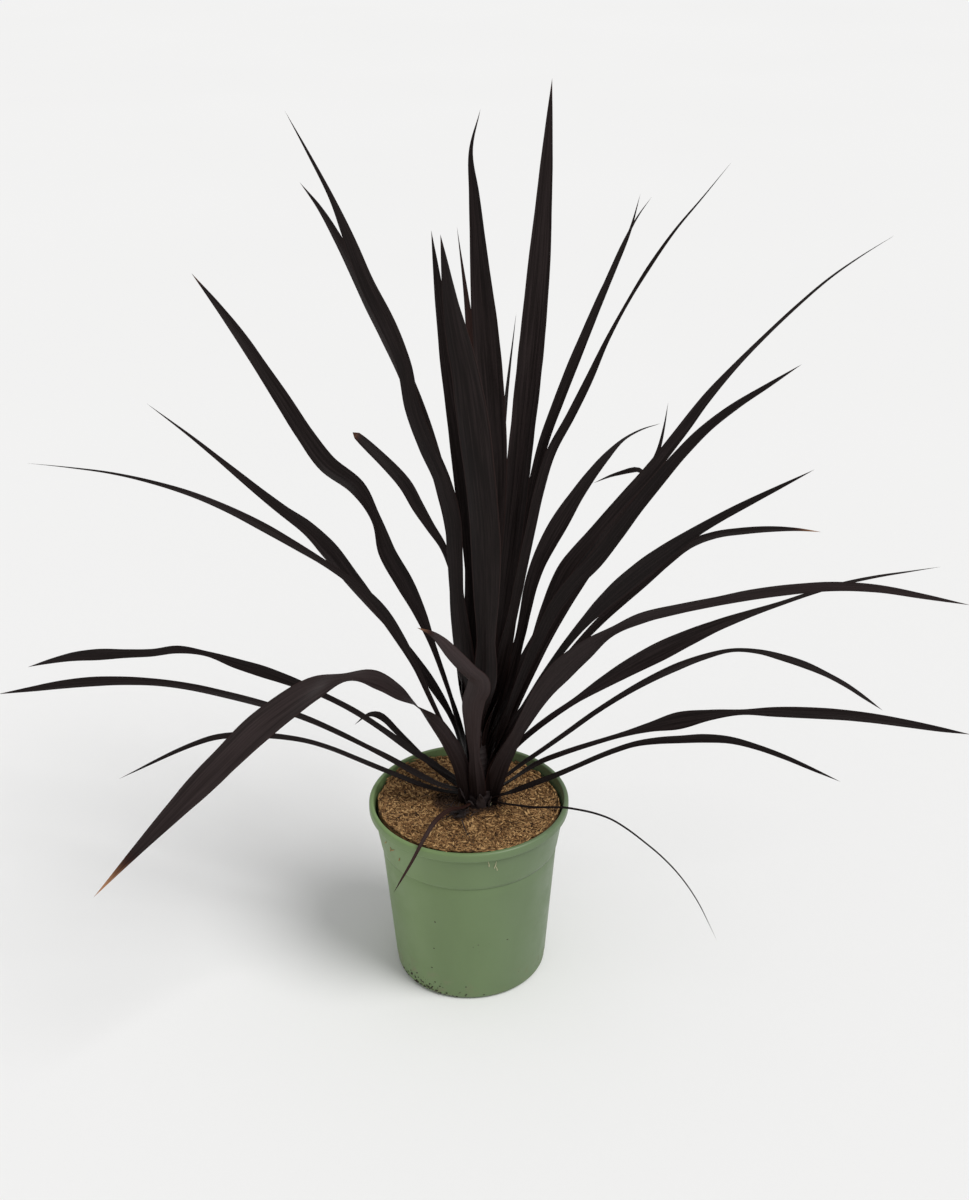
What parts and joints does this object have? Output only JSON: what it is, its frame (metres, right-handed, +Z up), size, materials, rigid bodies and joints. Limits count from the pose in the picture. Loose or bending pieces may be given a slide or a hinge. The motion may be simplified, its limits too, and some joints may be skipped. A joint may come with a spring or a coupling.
{
  "type": "potted cabbage tree",
  "caption": "Young cabbage tree with a crown of long dark burgundy strap leaves, upright inside and arching outside, in a tapering round green nursery pot dressed with coir husk.",
  "frame": {"origin": "centre of the pot's underside, on the surface it stands on", "axes": "+Z up along the pot's axis, -Y towards the viewer of the picture, +X to the viewer's right"},
  "size_m": [0.8986, 0.5111, 0.831],
  "materials": {
    "pot_plastic": "satin moulded green polypropylene, with faint flow marks and specks of dried mix",
    "potting_mix": "dark moist potting mix of composted bark and peat",
    "husk_dressing": "loose golden-brown coir husk chips, dry, darker where damp by the crown",
    "stem_bark": "dark fibrous young stem ringed with old leaf scars",
    "leaf_blade": "tough strap leaf, near-black burgundy, fine lengthwise veins, soft sheen, red-brown edges"
  },
  "bodies": {
    "root": {"pot": "pot_plastic", "root_ball": "potting_mix", "top_dressing": "husk_dressing", "stem": "stem_bark", "leaf_centre_tallest": "leaf_blade", "leaf_centre_hooked": "leaf_blade", "leaf_centre_front": "leaf_blade", "leaf_centre_back_left": "leaf_blade", "leaf_back_brown": "leaf_blade", "leaf_back_needle": "leaf_blade", "leaf_left_upright_front": "leaf_blade", "leaf_left_upright_back": "leaf_blade", "leaf_left_high": "leaf_blade", "leaf_left_middle": "leaf_blade", "leaf_left_long_thin": "leaf_blade", "leaf_left_cut_short": "leaf_blade", "leaf_front_folded": "leaf_blade", "leaf_front_drooping": "leaf_blade", "leaf_left_low_upper": "leaf_blade", "leaf_left_low_middle": "leaf_blade", "leaf_left_low_curving": "leaf_blade", "leaf_left_curl": "leaf_blade", "leaf_front_over_rim": "leaf_blade", "leaf_right_upright_front": "leaf_blade", "leaf_right_upright_back": "leaf_blade", "leaf_right_wispy": "leaf_blade", "leaf_right_longest": "leaf_blade", "leaf_right_high": "leaf_blade", "leaf_right_hook_up": "leaf_blade", "leaf_right_hook_back": "leaf_blade", "leaf_right_curved": "leaf_blade", "leaf_right_broad": "leaf_blade", "leaf_right_yellow_tip": "leaf_blade", "leaf_right_long_arch": "leaf_blade", "leaf_right_middle": "leaf_blade", "leaf_right_drooping": "leaf_blade", "leaf_right_level": "leaf_blade", "leaf_right_low": "leaf_blade", "leaf_right_over_rim": "leaf_blade"}
  },
  "joints": []
}
